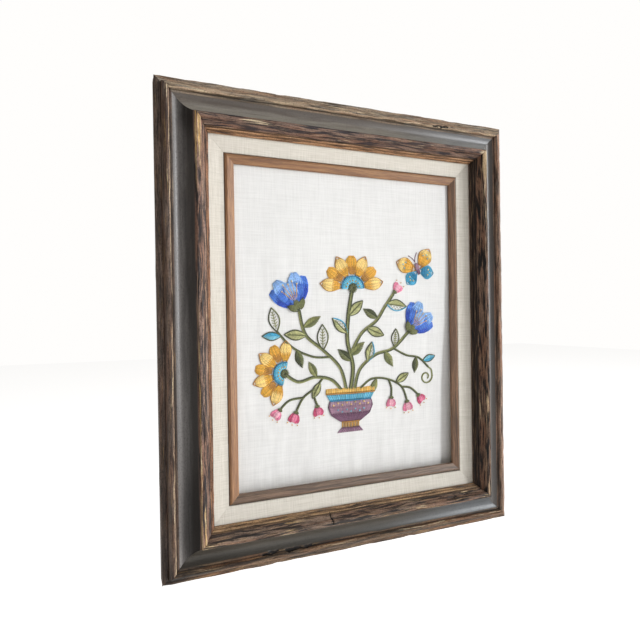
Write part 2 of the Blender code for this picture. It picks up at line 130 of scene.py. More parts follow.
def rail_wear_and_shade(side, along, arc, inset, rise, left):
    """How far the face is worn in, in millimetres, and its masks: crest, cove, groove and chips,
    then slope, bead, line and black. left is the distance to the nearer mitre. The groove and line
    masks paint shade into the lip's groove, the cove's groove and the valleys between the beads.
    In the cove the chip mask carries painted light instead: high where a sky reflection is painted
    on, low where the cove is painted darker towards the lower left corner."""
    if rise < 1.0 or (inset > 45.0 and rise < 19.0):
        return 0.0, BARE, BARE
    seed = 3.7 * SIDES[side] + 1.0
    outer, inner = RUBBED[side]
    patch = grain_at(along / 42, arc / 30, seed + 51.0)
    corner = hump(left, 0.0, 50) if side == "left" else 0.0
    if (side == "right" and along < 0) or (side == "top" and along > 0):
        corner = hump(left, 0.0, 30)
    broad = 0.35 if side == "left" else 0.6
    bend = grain_at(along / 18, 0.0, seed + 77.0)
    # The second term of the edge paints a highlight on the lit rim beside the cove's groove.
    edge = max(hump(inset, 12.7 + 1.1 * bend, 0.9), 0.7 * hump(inset, 16.2, 0.5))
    crest = limited(max(
        outer * max(edge, broad * hump(inset, 8.0, 5.0)) * (1 + 0.6 * patch),
        0.75 * corner * hump(inset, 11.0, 2.4),
        (inner + 0.5 * corner + 0.5 * patch) * hump(inset, 36.7, 1.1),
        (broad * inner + 0.8 * corner + 1.2 * broad * patch) * hump(inset, 40.0, 3.0),
        (0.8 * inner + 0.6 * patch) * hump(inset, 45.6, 1.0),
    ))
    cove = limited(min(inset - 15.6, 35.8 - inset))
    # The groove mask paints the lip's groove dark, most near the ends of the left rail: painted shade in the
    # recess.
    open_groove = 0.25 + 0.75 * (math.exp(-left / 55) if side == "left" else 0.0)
    groove = open_groove * hump(inset, 6.0, 0.3)
    # Near the lower left corner, and a little near the upper end of the left rail, the rail is painted darker
    # on its outer side, lip and cove. On the left rail the cove darkens most in its inner half, where the inner
    # ridge's shadow falls: there it is painted shade.
    darker_near_corner = 0.0
    if side == "left":
        darker_near_corner = hump(left, 0.0, 110 if along < 0 else 30)
        groove = max(groove, 0.5 * darker_near_corner * hump(inset, 3.0, 3.5))
    if side == "bottom" and along > 0:
        darker_near_corner = 0.5 * hump(left, 0.0, 70)
        groove = max(groove, 0.8 * hump(left, 0.0, 28) * hump(inset, 4.0, 9.0))
    rough = max(hump(inset, 11.0, 2.6), hump(inset, 39.6, 3.0))
    rough = max(rough, 0.8 if inset > 41.0 else 0.0, 0.6 if inset < 6.0 else 0.0)
    grain = grain_at(along / 16, arc / 1.1, seed)
    ripple = grain_at(along / 5, arc / 0.7, seed + 7.0)
    chip = grain_at(along / 13, arc / 1.5, seed + 19.0)
    wander = grain_at(along / 45, arc / 6, seed + 31.0)
    chips_and_cove_tone = max(0.0, chip + 0.35 * wander - 0.16) * 2.4 * rough
    depth = rough * (0.32 * grain + 0.16 * ripple) + 0.8 * min(chips_and_cove_tone, 1.0)
    depth += 0.04 * grain + 0.10 * wander * (1 - cove) - 1.5 * (1 - open_groove) * hump(inset, 6.0, 0.3)
    if inset < 6.0:
        depth += 0.45 * grain_at(along / 34, 0.0, seed + 3.0)
    # The line mask paints shade: dark in the valleys between the beads and in the cove's groove, which are also
    # cut deeper.
    line = max(0.85 * hump(inset, 47.1, 0.3), 0.4 * hump(inset, 49.05, 0.3))
    depth += 0.4 * line + 0.9 * hump(inset, COVE_GROOVE, 0.7)
    line = max(line, 0.8 * hump(inset, COVE_GROOVE, 0.7))
    black = 0.0
    for place, across, length, width, deep, dark in GOUGES[side]:
        near = ((along - place) / length * 2) ** 2 + ((inset - across + 0.05 * (along - place)) / width) ** 2
        if near < 2.0:
            near = max(0.0, near + 1.2 * grain_at(along / 3.5, arc / 1.3, seed + 91.0))
        if near < 1.0:
            depth += deep * (1 - near)
            chips_and_cove_tone += 0.5 * (1 - near) * max(0.0, 1 - dark)
            black = max(black, dark * min(1.0, 2 * (1 - near)))
    # In the cove the chip mask carries painted light: a sky reflection painted on towards the right ends of the
    # top and bottom rails, and the painted darkening near the lower left corner.
    if cove > 0.5:
        sky_reflection = limited(({"top": along, "bottom": -along}.get(side, 0.0) - 20) / 150)
        chips_and_cove_tone = 0.5 + 0.5 * sky_reflection - 0.5 * darker_near_corner * (1.0 if side == "bottom" else min(1.0, (inset - 15.6) / 7))
    slope = limited((inset - 15.6) / 19.4) if inset < 46.9 else 0.0
    bead = 1.0 if inset > 46.9 else 0.0
    return depth, (crest, cove, groove, min(1.0, chips_and_cove_tone)), (slope, bead, line, black)


def placed(name, data):
    made = bpy.data.objects.new(name, data)
    bpy.context.scene.collection.objects.link(made)
    return made


def shaped(builder, name):
    """The finished piece with the builder's mesh."""
    mesh = bpy.data.meshes.new(name)
    builder.to_mesh(mesh)
    builder.free()
    mesh.shade_smooth()
    return placed(name, mesh)


def mitred_length(name, section, side, steps, wear_and_shading):
    """One side of a frame: the section runs between two 45 degree cuts and is worn along it."""
    upright = side in ("left", "right")
    half_run = (FRAME_HEIGHT if upright else FRAME_WIDTH) / 2
    reach = (FRAME_WIDTH if upright else FRAME_HEIGHT) / 2
    count = len(section)
    arcs = [0.0]
    outward = []
    for row in range(count):
        before, here, after = section[row - 1], section[row], section[(row + 1) % count]
        arcs.append(arcs[-1] + (after - here).length)
        run = (after - before).normalized()
        outward.append(Vector((-run.y, run.x)))

    builder = bmesh.new()
    bmesh.ops.create_grid(builder, x_segments=steps, y_segments=count, size=0.5)
    layout = builder.loops.layers.uv.new("UVMap")
    # The first layer holds the rubbing and chip masks together with painted shade, highlight and reflection
    # masks; the second holds the zones and painted shade of lines.
    wear_and_shading_masks = builder.verts.layers.float_color.new("wear_and_shading")
    zone_masks = builder.verts.layers.float_color.new("zones")
    for vertex in builder.verts:
        share = vertex.co.x + 0.5
        row = round((vertex.co.y + 0.5) * count)
        inset, rise = section[row % count]
        end = half_run - inset * MM - MITRE_CUT
        along = (2 * share - 1) * end
        left = (end - abs(along)) / MM
        depth, vertex[wear_and_shading_masks], vertex[zone_masks] = wear_and_shading(side, along / MM, arcs[row], inset, rise, left)
        worn = Vector((inset, rise)) - outward[row % count] * depth
        vertex.co = (along, -worn.y * MM, reach - worn.x * MM)
        for loop in vertex.link_loops:
            loop[layout].uv = (along, arcs[row] * MM)
    bmesh.ops.remove_doubles(builder, verts=builder.verts, dist=0.01 * MM)
    rims = [edge for edge in builder.edges if edge.is_boundary]
    bmesh.ops.holes_fill(builder, edges=rims, sides=0)
    bmesh.ops.recalc_face_normals(builder, faces=builder.faces)
    turn = Matrix.Rotation(-math.radians(90 * SIDES[side]), 4, "Y")
    builder.transform(Matrix.Translation((0, 0, FRAME_MIDDLE)) @ turn)
    piece = shaped(builder, name)
    piece.data.set_sharp_from_angle(angle=math.radians(50))
    return piece


class Amount:
    """A number that changes over a surface. Sums and products of it become Math nodes."""

    def __init__(self, tree, socket):
        self.tree, self.socket = tree, socket

    def __add__(self, other):
        return maths("ADD", self, other)

    def __sub__(self, other):
        return maths("SUBTRACT", self, other)

    def __rsub__(self, other):
        return maths("SUBTRACT", other, self)

    def __mul__(self, other):
        return maths("MULTIPLY", self, other)

    def ramp(self, low, high, most=1.0):
        """0 at low, most at high, smooth between."""
        made = node(self.tree, "MapRange", {0: self, 1: low, 2: high, 4: most}, interpolation_type="SMOOTHSTEP")
        return Amount(self.tree, made.outputs[0])


def feed(tree, made, values):
    """Set or link sockets of a node; values maps them to numbers, colours, amounts or other sockets."""
    for key, value in values.items():
        if isinstance(value, Amount):
            value = value.socket
        if isinstance(value, bpy.types.NodeSocket):
            tree.links.new(value, made.inputs[key])
        else:
            made.inputs[key].default_value = value


def node(tree, kind, values=None, **settings):
    made = tree.nodes.new("ShaderNode" + kind)
    for key, value in settings.items():
        setattr(made, key, value)
    feed(tree, made, values or {})
    return made


def amounts(tree, made):
    return [Amount(tree, socket) for socket in made.outputs]


def maths(operation, first, second=0.0, clamp=False):
    tree = (first if isinstance(first, Amount) else second).tree
    return amounts(tree, node(tree, "Math", {0: first, 1: second}, operation=operation, use_clamp=clamp))[0]


def blended(share, first, second, way="MIX"):
    """A mix of two colours, each a link or four numbers."""
    return node(share.tree, "Mix", {0: share, 6: first, 7: second}, data_type="RGBA", blend_type=way).outputs[2]


def grain_noise(tree, place, scale, detail, roughness=0.5):
    values = {"Vector": place, "Scale": scale, "Detail": detail, "Roughness": roughness}
    return amounts(tree, node(tree, "TexNoise", values))[0]


def bumped(height, strength, depth):
    values = {"Strength": strength, "Distance": depth, "Height": height}
    return node(height.tree, "Bump", values).outputs[0]


def uv_parts(tree):
    """The two parts of a piece's own UV map, which is in metres along and across it."""
    uv = node(tree, "UVMap", uv_map="UVMap").outputs[0]
    return amounts(tree, node(tree, "SeparateXYZ", {0: uv}))[:2]


def masks(tree, layer):
    """The four masks that a length's wear left in a layer."""
    stored = node(tree, "VertexColor", layer_name=layer)
    return amounts(tree, node(tree, "SeparateColor", {0: stored.outputs[0]})) + amounts(tree, stored)[1:]


def new_group(name, inputs, outputs):
    """An empty node group with numbers in and out, what comes in, and the node that sends out."""
    group = bpy.data.node_groups.new(name, "ShaderNodeTree")
    for label, default in inputs.items():
        socket = group.interface.new_socket(label, in_out="INPUT", socket_type="NodeSocketFloat")
        socket.default_value = default
    for label in outputs:
        group.interface.new_socket(label, in_out="OUTPUT", socket_type="NodeSocketFloat")
    inlet = amounts(group, group.nodes.new("NodeGroupInput"))
    return group, inlet[:len(inputs)], group.nodes.new("NodeGroupOutput")


def new_material(name):
    material = bpy.data.materials.new(name)
    material.use_nodes = True
    return material, material.node_tree, material.node_tree.nodes["Principled BSDF"]


def srgb(code):
    """A six-letter web colour as linear numbers."""
    parts = [int(code[place:place + 2], 16) / 255 for place in (0, 2, 4)]
    linear = [part / 12.92 if part <= 0.04045 else ((part + 0.055) / 1.055) ** 2.4 for part in parts]
    return (*linear, 1.0)


# Streaks of wood grain: width and length as shares of the group's own, and detail
GRAIN = {
    "Broad": (3.0, 1.3, 4.0),
    "Fine": (1.0, 0.8, 5.0),
    "Pores": (0.34, 0.30, 3.0),
    "Patches": (2.8, 0.8, 6.0),
    "Grit": (0.8, 0.045, 2.0),
    "Reddish": (8.0, 2.0, 3.0),
}


def wood_streaks_group():
    inputs = {"Seed": 0.0, "Streak Width": 1.2, "Streak Length": 40.0}
    group, (seed, streak_width, streak_length), outlet = new_group("wood_streaks", inputs, GRAIN)
    along, across = uv_parts(group)
    place = node(group, "CombineXYZ", {0: along * (1 / 0.045), 1: across * (1 / 0.012)}).outputs[0]
    bent = across + grain_noise(group, place, 1.0, 1.0) * (5.0 * MM)
    for label, (width, length, detail) in GRAIN.items():
        down = maths("DIVIDE", bent, streak_width * (width * MM))
        on = maths("DIVIDE", along, streak_length * (length * MM))
        place = node(group, "CombineXYZ", {0: on, 1: down, 2: seed}).outputs[0]
        feed(group, outlet, {label: grain_noise(group, place, 1.0, detail, 0.6)})
    return group


WOOD_STREAKS = wood_streaks_group()

PALE_TAN = srgb("e3cfa9")
PINK_TAN = srgb("bfa388")
# A painted reflection of the sky, laid on the cove's satin.
SKY_REFLECTION_GREY = srgb("7b858f")
RED_TINT = (1.0, 0.74, 0.60, 1.0)
BLACK_BROWN = srgb("15100d")
# Staining of each side, with painted light and shade: each side is set lighter or darker by how the
# light falls on it, the cove's two colours paint a highlight and a shadow on the left and a lighter,
# upward facing inner half on the top, and the right side's slope and beads are painted near black as
# shade. In pairs: outer band dark and light, cove from its outer to its inner edge, slope dark and light,
# beads dark and light; and last the rubbed wood
STAINS_AND_SIDE_SHADE = {
    "top": ("6a5b4b", "ab957d", "544a42", "938d83", "3a3234", "82685a", "6f4f3a", "b88a62", "cdb99a"),
    "left": ("54463e", "7c695d", "817c79", "3d3a38", "3b3739", "987d6f", "6a4a38", "a5775a", "cca267"),
    "bottom": ("463a30", "8b6f56", "39342c", "554f46", "3b3532", "8a7464", "6f5b4a", "b8936c", "c9a76f"),
    "right": ("66554a", "b8957e", "4d4743", "6e6a66", "0e0b0a", "7d6250", "0c0908", "4c392d", "c5a983"),
}


def rail_material(name, seed, stain_and_shade):
    """Weathered staining, rubbed through to tan wood on the ridges, with a satin cove. Each side's colours
    carry painted light and shade, and the cove a painted sky reflection and painted darkening.
    """
    outer_dark, outer_light, cove_outer, cove_inner, slope_dark, slope_light, bead_dark, bead_light, tan = (
        srgb(code) for code in stain_and_shade
    )
    material, tree, shader = new_material(name)
    streaks = node(tree, "Group", {"Seed": seed}, node_tree=WOOD_STREAKS)
    broad, fine, pores, patches, grit, reddish = amounts(tree, streaks)
    crest, cove, groove, chip = masks(tree, "wear_and_shading")
    slope, bead, line, black = masks(tree, "zones")

    # These colours carry each side's painted light and shade from the side table.
    mottle = patches + (fine - 0.5) * 0.6
    stain_with_side_shade = blended(broad.ramp(0.38, 0.60), outer_dark, outer_light)
    stain_with_side_shade = blended(mottle.ramp(0.50, 0.60, 0.55), stain_with_side_shade, cove_inner)
    stain_with_side_shade = blended(slope, stain_with_side_shade, blended(mottle.ramp(0.42, 0.56), slope_dark, slope_light))
    stain_with_side_shade = blended(reddish.ramp(0.46, 0.58, 0.6), stain_with_side_shade, RED_TINT, "MULTIPLY")
    stain_with_side_shade = blended(bead, stain_with_side_shade, blended(fine.ramp(0.38, 0.58), bead_dark, bead_light))
    stain_with_side_shade = blended(fine.ramp(0.56, 0.68, 0.35), stain_with_side_shade, tan)
    stain_with_side_shade = blended(fine.ramp(0.45, 0.34, 0.85), stain_with_side_shade, BLACK_BROWN)
    rubbed = blended(slope.ramp(0.8, 1.0), PINK_TAN, tan)
    rubbed = blended(fine.ramp(0.50, 0.66), rubbed, PALE_TAN)
    rubbed = blended(broad.ramp(0.52, 0.60, 0.6), rubbed, outer_light)
    worn = crest * 0.6 + fine * 0.7 + broad * 0.3 + chip * 0.15
    colour = blended(worn.ramp(0.86, 1.00), stain_with_side_shade, rubbed)
    # The cove runs from its outer to its inner colour: painted light and shade, as in the side table. Where the
    # chip mask is high a sky reflection is painted on, where it is low the cove is painted darker.
    across = slope + (broad - 0.5) * 0.8
    painted = blended(across.ramp(0.10, 0.85), cove_outer, cove_inner)
    painted = blended(chip.ramp(0.5, 1.0, 0.36), painted, SKY_REFLECTION_GREY)
    painted = blended(chip.ramp(0.5, 0.0, 0.65), painted, BLACK_BROWN)
    colour = blended(cove, colour, painted)
    colour = blended(grit.ramp(0.53, 0.33) * (0.46 - cove * 0.16), colour, BLACK_BROWN)
    # Grooves and lines are painted dark: painted shade in the lip's groove, the cove's groove and the valleys
    # between the beads. Black gouges and cracks are the wood's own dark marks.
    sunk = maths("MAXIMUM", groove, line)
    sunk = maths("MAXIMUM", sunk, (black * 0.6 + fine).ramp(0.98, 1.12))
    sunk = maths("MAXIMUM", sunk, pores.ramp(0.44, 0.35) * (0.9 - cove))
    relief = fine * (1.0 - cove * 0.9) + pores * 0.25 + grit * 0.30
    feed(tree, shader, {
        "Base Color": blended(sunk, colour, BLACK_BROWN),
        "Roughness": 0.60 - cove * 0.22 + (fine - 0.5) * 0.25,
        "Specular IOR Level": 0.3,
        "Coat Roughness": 0.32,
        "Coat Weight": cove * chip.ramp(0.0, 0.5) * 0.65,
        "Normal": bumped(relief, 0.5, 0.8 * MM),
    })
    return material


RAIL_SECTION = section_of((0.0, 0.0), RAIL_RUNS)
for side, turn in SIDES.items():
    rail = mitred_length(f"rail_{side}", RAIL_SECTION, side, RAIL_STEPS, rail_wear_and_shade)
    rail.data.materials.append(rail_material(f"weathered_wood_{side}", 5.3 * turn, STAINS_AND_SIDE_SHADE[side]))
    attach(rail, "root")
    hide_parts(f"frame_rail_{side}")


# The liner is a sloped strip of wood wrapped in cream linen, mitred like the frame. It sits in
# the frame's rabbet, slopes in towards the picture and ends in a narrow flat.
LINER_START = 46.3
LINER_FACE_END = 67.2
LINER_SEAT = 13.4
LINER_BACK = 0.5
LINER_RUNS = (
    ((LINER_START, 18.0), 0.0, 3),  # outer edge
    ((63.8, 14.7), 0.12, 16),  # slope
    ((LINER_FACE_END, 14.5), 0.0, 4),  # narrow flat
    ((LINER_FACE_END, LINER_SEAT), 0.0, 1),  # seat of the fillet
    ((71.7, LINER_SEAT), 0.0, 2),
    ((71.7, LINER_BACK), 0.0, 3),
)
LINER_STEPS = 90
LINER_CREAM = srgb("f2ece2")
LINER_SHADE = srgb("c2bbab")


def liner_wear(side, along, arc, inset, rise, left):
    """The wrapped cloth lies a little uneven over the wood."""
    if not LINER_START < inset < LINER_FACE_END or rise < LINER_SEAT:
        return 0.0, BARE, BARE
    return 0.10 * grain_at(along / 40, arc / 9, 2.1 * SIDES[side]), BARE, BARE


# A plain weave, read from the piece's own UV map in metres, with thicker threads here and there
def linen_weave_group():
    inputs = {"Thread": 0.6, "Slub": 1.0, "Seed": 0.0}
    group, (thread, slub_share, seed), outlet = new_group("linen_weave", inputs, ("Height", "Shade"))
    spots = uv_parts(group)
    pitch = maths("DIVIDE", math.pi / MM, thread)
    warp, weft = (maths("SINE", spot * pitch) for spot in spots)
    over = maths("GREATER_THAN", warp * weft, 0.0)
    raised = maths("ABSOLUTE", warp) * over + maths("ABSOLUTE", weft) * (1.0 - over)
    slubs = []
    for along, across in ((0, 1), (1, 0)):
        values = {0: spots[along] * (1 / (26 * MM)), 1: spots[across] * (1 / (1.1 * MM)), 2: seed}
        slubs.append(grain_noise(group, node(group, "CombineXYZ", values).outputs[0], 1.0, 2.0) - 0.5)
    slub = (slubs[0] + slubs[1]) * slub_share
    shade = maths("ADD", slub * 0.75 + raised * 0.11, 0.48, clamp=True)
    feed(group, outlet, {"Height": raised * 0.6 + slub, "Shade": shade})
    return group


LINEN_WEAVE = linen_weave_group()


def linen_material(name, light, dark, thread, slub, seed, bump_depth):
    material, tree, shader = new_material(name)
    weave = node(tree, "Group", node_tree=LINEN_WEAVE, values={"Thread": thread, "Slub": slub, "Seed": seed})
    height, shade = amounts(tree, weave)
    feed(tree, shader, {
        "Base Color": blended(shade, dark, light),
        "Roughness": 0.92,
        "Sheen Weight": 0.15,
        "Normal": bumped(height, 0.5, bump_depth),
    })
    return material


LINER_SECTION = section_of((LINER_START, LINER_BACK), LINER_RUNS)
for side, turn in SIDES.items():
    liner = mitred_length(f"liner_{side}_wrapped", LINER_SECTION, side, LINER_STEPS, liner_wear)
    liner.data.materials.append(
        linen_material(f"cream_linen_{side}", LINER_CREAM, LINER_SHADE, 0.75, 1.0, turn * 3.1, 0.35 * MM)
    )
    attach(liner, "root")
    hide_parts(f"liner_{side}")


# The fillet is a slim moulding of warm brown wood on the liner's inner edge. It stands about
# two millimetres proud of the cloth and slopes down to the picture.
FILLET_START = 67.5
FILLET_END = 78.0
FILLET_STEP = 72.0
FILLET_SEAT = 13.7
FILLET_BACK = 11.5
FILLET_RUNS = (
    ((FILLET_START, 13.9), 0.0, 1),
    ((FILLET_START + 2.9, 16.5), 0.25, 8),  # shoulder
    ((FILLET_END - 0.7, 14.5), 0.1, 12),  # face
    ((FILLET_END, 13.9), 0.12, 3),
    ((FILLET_END, FILLET_BACK), 0.0, 3),  # sight edge
    ((FILLET_STEP, FILLET_BACK), 0.0, 2),  # back, in front of the cloth
    ((FILLET_STEP, FILLET_SEAT), 0.0, 1),
)
FILLET_STEPS = 150
DARK_BROWN = srgb("40342d")
FILLET_HIGHLIGHT = srgb("c09a76")
# Light and dark of each side's wood, also set by how the light falls: painted light on the left side, which
# faces the light, and painted shade on the right side, which faces away from it.
FILLET_LIT_AND_SHADED_COLOURS = {
    "top": ("a4784f", "7d5539"), "left": ("ae8059", "835c41"),
    "bottom": ("856b57", "4b3c31"), "right": ("8a664b", "4d3728"),
}


def fillet_grain_and_shade(side, along, arc, inset, rise, left):
    """Fine grain stands on its face. Its outer edge is painted darker, except on the right: painted shade along
    the outer wall beside the liner. On the right the shoulder is painted pale: a painted highlight where it
    catches the light.
    """
    edge = 0.0 if side == "right" else hump(inset, FILLET_START, 1.0)
    pale = hump(inset, FILLET_START + 1.6, 1.2) if side == "right" else 0.0
    rubbed = (edge, pale, 0.0, 0.0)
    if inset < FILLET_START + 0.5 or inset > FILLET_END - 0.3 or rise < FILLET_SEAT + 0.4:
        return 0.0, rubbed, BARE
    return 0.12 * grain_at(along / 14, arc / 0.9, 1.3 * SIDES[side] + 4), rubbed, BARE


def fillet_material(name, light, dark, seed):
    material, tree, shader = new_material(name)
    streaks = node(tree, "Group", {"Seed": seed, "Streak Width": 0.8}, node_tree=WOOD_STREAKS)
    broad, fine, pores = amounts(tree, streaks)[:3]
    edge, pale = masks(tree, "wear_and_shading")[:2]
    colour = blended(broad.ramp(0.25, 0.60), dark, light)
    # Painted highlight on the right shoulder, then the wood's grain and pores, then painted shade along the
    # outer edge.
    colour = blended(pale * 0.6, colour, FILLET_HIGHLIGHT)
    colour = blended(fine.ramp(0.54, 0.42, 0.8), colour, dark)
    colour = blended(pores.ramp(0.46, 0.36, 0.6), colour, DARK_BROWN)
    colour = blended(edge * 0.75, colour, DARK_BROWN)
    feed(tree, shader, {
        "Base Color": colour,
        "Roughness": fine * 0.25 + 0.36,
        "Normal": bumped(pores, 0.35, 0.3 * MM),
    })
    return material


FILLET_SECTION = section_of((FILLET_START, FILLET_SEAT), FILLET_RUNS)
for side, turn in SIDES.items():
    fillet = mitred_length(f"fillet_{side}_wood", FILLET_SECTION, side, FILLET_STEPS, fillet_grain_and_shade)
    light, dark = (srgb(code) for code in FILLET_LIT_AND_SHADED_COLOURS[side])
    fillet.data.materials.append(fillet_material(f"fillet_wood_{side}", light, dark, 2.9 * turn + 1.7))
    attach(fillet, "root")
    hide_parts(f"fillet_{side}")


# The picture's ground is off-white linen, stretched behind the fillet. Its top lies close behind
# the fillet, further down it sinks back, and the stitching draws it into slight puckers.
LINEN_WIDTH = FRAME_WIDTH / MM - 2 * FILLET_STEP
LINEN_HEIGHT = FRAME_HEIGHT / MM - 2 * FILLET_STEP
LINEN_THICKNESS = 1.2
LINEN_TOP = 10.5
LINEN_BOTTOM = 2.7
LINEN_BEND = 0.78
LINEN_COLUMNS = 150
LINEN_ROWS = 190
PUCKER_DEPTH = 0.32
EDGE_MARGIN = 12.0
COCKLE_LOW = 1.1
COCKLE_HIGH = 0.25
COCKLE_MARGIN = 7.0
LINEN_WHITE = srgb("faf9f7")
LINEN_GREY = srgb("cecdca")


def linen_rise(spot):
    """How far the cloth's bare front lies in front of the wall, in millimetres, at a place given
    in millimetres across and up from the middle of the picture."""
    share = (spot.y + LINEN_HEIGHT / 2) / LINEN_HEIGHT
    sunk = max(0.0, 1.0 - share / LINEN_BEND)
    lean = LINEN_TOP - (LINEN_TOP - LINEN_BOTTOM) * sunk ** 2 * (3 - 2 * sunk)
    pucker = math.sin(spot.x / 31 + 0.6) * math.cos(spot.y / 44)
    fold = math.sin(spot.y / 27 + spot.x / 70)
    room = min(LINEN_WIDTH / 2 - abs(spot.x), LINEN_HEIGHT / 2 - abs(spot.y))
    hold = limited(room / EDGE_MARGIN)
    cockle = grain_at(spot.x / 24, spot.y / 58, 3.0) + 0.4 * grain_at(spot.x / 9, spot.y / 26, 8.0)
    cockle *= (COCKLE_LOW + (COCKLE_HIGH - COCKLE_LOW) * share) * limited(room / COCKLE_MARGIN)
    return lean + PUCKER_DEPTH * (pucker + 0.6 * fold) * hold + cockle


def on_linen(spot, height):
    """The point that stands height millimetres in front of the cloth at spot."""
    return Vector((spot.x * MM, -(linen_rise(spot) + height) * MM, spot.y * MM + FRAME_MIDDLE))


def linen_sheet():
    builder = bmesh.new()
    bmesh.ops.create_grid(builder, x_segments=LINEN_COLUMNS, y_segments=LINEN_ROWS, size=0.5)
    layout = builder.loops.layers.uv.new("UVMap")
    for vertex in builder.verts:
        spot = Vector((vertex.co.x * LINEN_WIDTH, vertex.co.y * LINEN_HEIGHT))
        for loop in vertex.link_loops:
            loop[layout].uv = (spot.x * MM, spot.y * MM)
        vertex.co = on_linen(spot, 0.0)
    bmesh.ops.recalc_face_normals(builder, faces=builder.faces)
    if sum(face.normal.y for face in builder.faces) > 0:
        bmesh.ops.reverse_faces(builder, faces=builder.faces)
    piece = shaped(builder, "linen_ground")
    body = piece.modifiers.new("cloth_thickness", "SOLIDIFY")
    body.thickness = LINEN_THICKNESS * MM
    body.offset = -1.0
    return piece


linen = linen_sheet()
linen.data.materials.append(
    linen_material("white_linen", LINEN_WHITE, LINEN_GREY, 0.62, 0.6, 4.4, 0.22 * MM)
)
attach(linen, "root")
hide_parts("stitched_linen")


# The stems are rows of stem stitch in two-ply crewel wool. Each stitch slants over the line and
# overlaps the next, as in a rope, and both of its ends go down through the linen.
YARN = 1.25
# How far each strand's tone strays at random: uneven dyeing, widened to also paint the light and shade between
# strands.
DYE_AND_SHADE_SPREAD = 0.22
STEM_STEP = 2.1
STEM_REACH = 3.9
# Along the stitch, height over the cloth and thickness, the last two as shares of the yarn
STITCH_SHAPE = (
    (0.0, -0.35, 0.55), (0.08, 0.18, 0.85), (0.3, 0.5, 1.0),
    (0.7, 0.5, 1.0), (0.92, 0.18, 0.85), (1.0, -0.35, 0.55),
)
DARK_OLIVE = srgb("474d2e")
OLIVE = srgb("6e7346")
LIGHT_OLIVE = srgb("8f9159")
# Stem: rows of stitches, then the points that it runs through
STEMS = (
    (4, ((0, -73), (3, -46), (-4, -16), (-3, 14), (2, 44))),
    (3, ((-5, -73), (-13, -47), (-34, -26), (-55, -8), (-63, 20))),
    (3, ((5, -73), (12, -50), (32, -34), (56, -27), (77, -8))),
    (3, ((-11, -73), (-24, -60), (-44, -56), (-64, -60), (-80, -50))),
    (3, ((1, -30), (14, -8), (33, 6), (44, 22), (56, 38))),
    (2, ((11, -73), (28, -62), (50, -64), (68, -74), (75, -90))),
    (2, ((-34, -57), (-44, -68), (-58, -78), (-66, -92))),
    (2, ((-24, -34), (-46, -33), (-70, -22), (-88, -4))),
    (2, ((56, -27), (74, -36), (92, -40), (106, -52))),
    (2, ((68, -74), (80, -76), (90, -84))),
    (2, ((50, -64), (54, -74), (54, -84))),
    (2, ((-58, -78), (-74, -80), (-84, -88))),
    (2, ((-44, -68), (-45, -78), (-42, -87))),
)
STEM_SHADES = (DARK_OLIVE, OLIVE, LIGHT_OLIVE, DARK_OLIVE)


def flowing_line(points, steps):
    """A smooth line through the points."""
    held = [points[0], *points, points[-1]]
    line = []
    for index in range(1, len(held) - 2):
        before, start, end, after = (Vector(p) for p in held[index - 1:index + 3])
        for step in range(steps):
            t = step / steps
            bend = start * 2 + (end - before) * t
            bend += (before * 2 - start * 5 + end * 4 - after) * t ** 2
            bend += (start * 3 - before - end * 3 + after) * t ** 3
            line.append(bend * 0.5)
    line.append(Vector(points[-1]))
    return line


def measured(spots):
    """The line through spots as a function of the length along it, and its whole length."""
    marks = [0.0]
    for before, after in zip(spots, spots[1:]):
        marks.append(marks[-1] + (after - before).length)

    def spot_at(length):
        length = min(max(length, 0.0), marks[-1])
        index = min(bisect.bisect_right(marks, length), len(marks) - 1)
        share = (length - marks[index - 1]) / (marks[index] - marks[index - 1])
        return spots[index - 1].lerp(spots[index], share)

    return spot_at, marks[-1]


class Needlework:
    """The strands of one piece, and the random draws that vary them."""

    def __init__(self, seed):
        self.strands = []
        self.draw = random.Random(seed)

    def add(self, points, colour):
        """A strand through points, each a place and a radius, dyed a little off the colour. The spread is wide
        enough to also paint light and shade from strand to strand.
        """
        level = 1 + self.draw.uniform(-DYE_AND_SHADE_SPREAD, DYE_AND_SHADE_SPREAD)
        dye_and_shade = [channel * level * (1 + self.draw.uniform(-0.03, 0.03)) for channel in colour[:3]]
        self.strands.append((points, dye_and_shade + [1.0]))


def lay(work, path, colour, level=0.0, girth=YARN):
    """One stitch along path, which gives a spot for each share from 0 to 1."""
    points = []
    for share, height, width in STITCH_SHAPE:
        points.append((on_linen(path(share), level + height * girth), width * girth * MM / 2))
    work.add(points, colour)


def stem_stitch(work, spots, shades, rows=1, girth=YARN, level=0.0):
    """Rows of stem stitch side by side along a line."""
    spot_at, total = measured(spots)
    for row in range(rows):
        aside = (row - (rows - 1) / 2) * girth * 0.92
        place = -work.draw.random() * STEM_STEP
        while place < total - 0.3 * STEM_STEP:
            start = max(place, 0.0)
            end = min(place + STEM_REACH, total)

            def slanted(share):
                length = start + (end - start) * share
                run = (spot_at(length + 0.4) - spot_at(length - 0.4)).normalized()
                return spot_at(length) + Vector((-run.y, run.x)) * (aside + (share - 0.5) * 0.5 * girth)

            lay(work, slanted, shades[row % len(shades)], level, girth)
            place += STEM_STEP


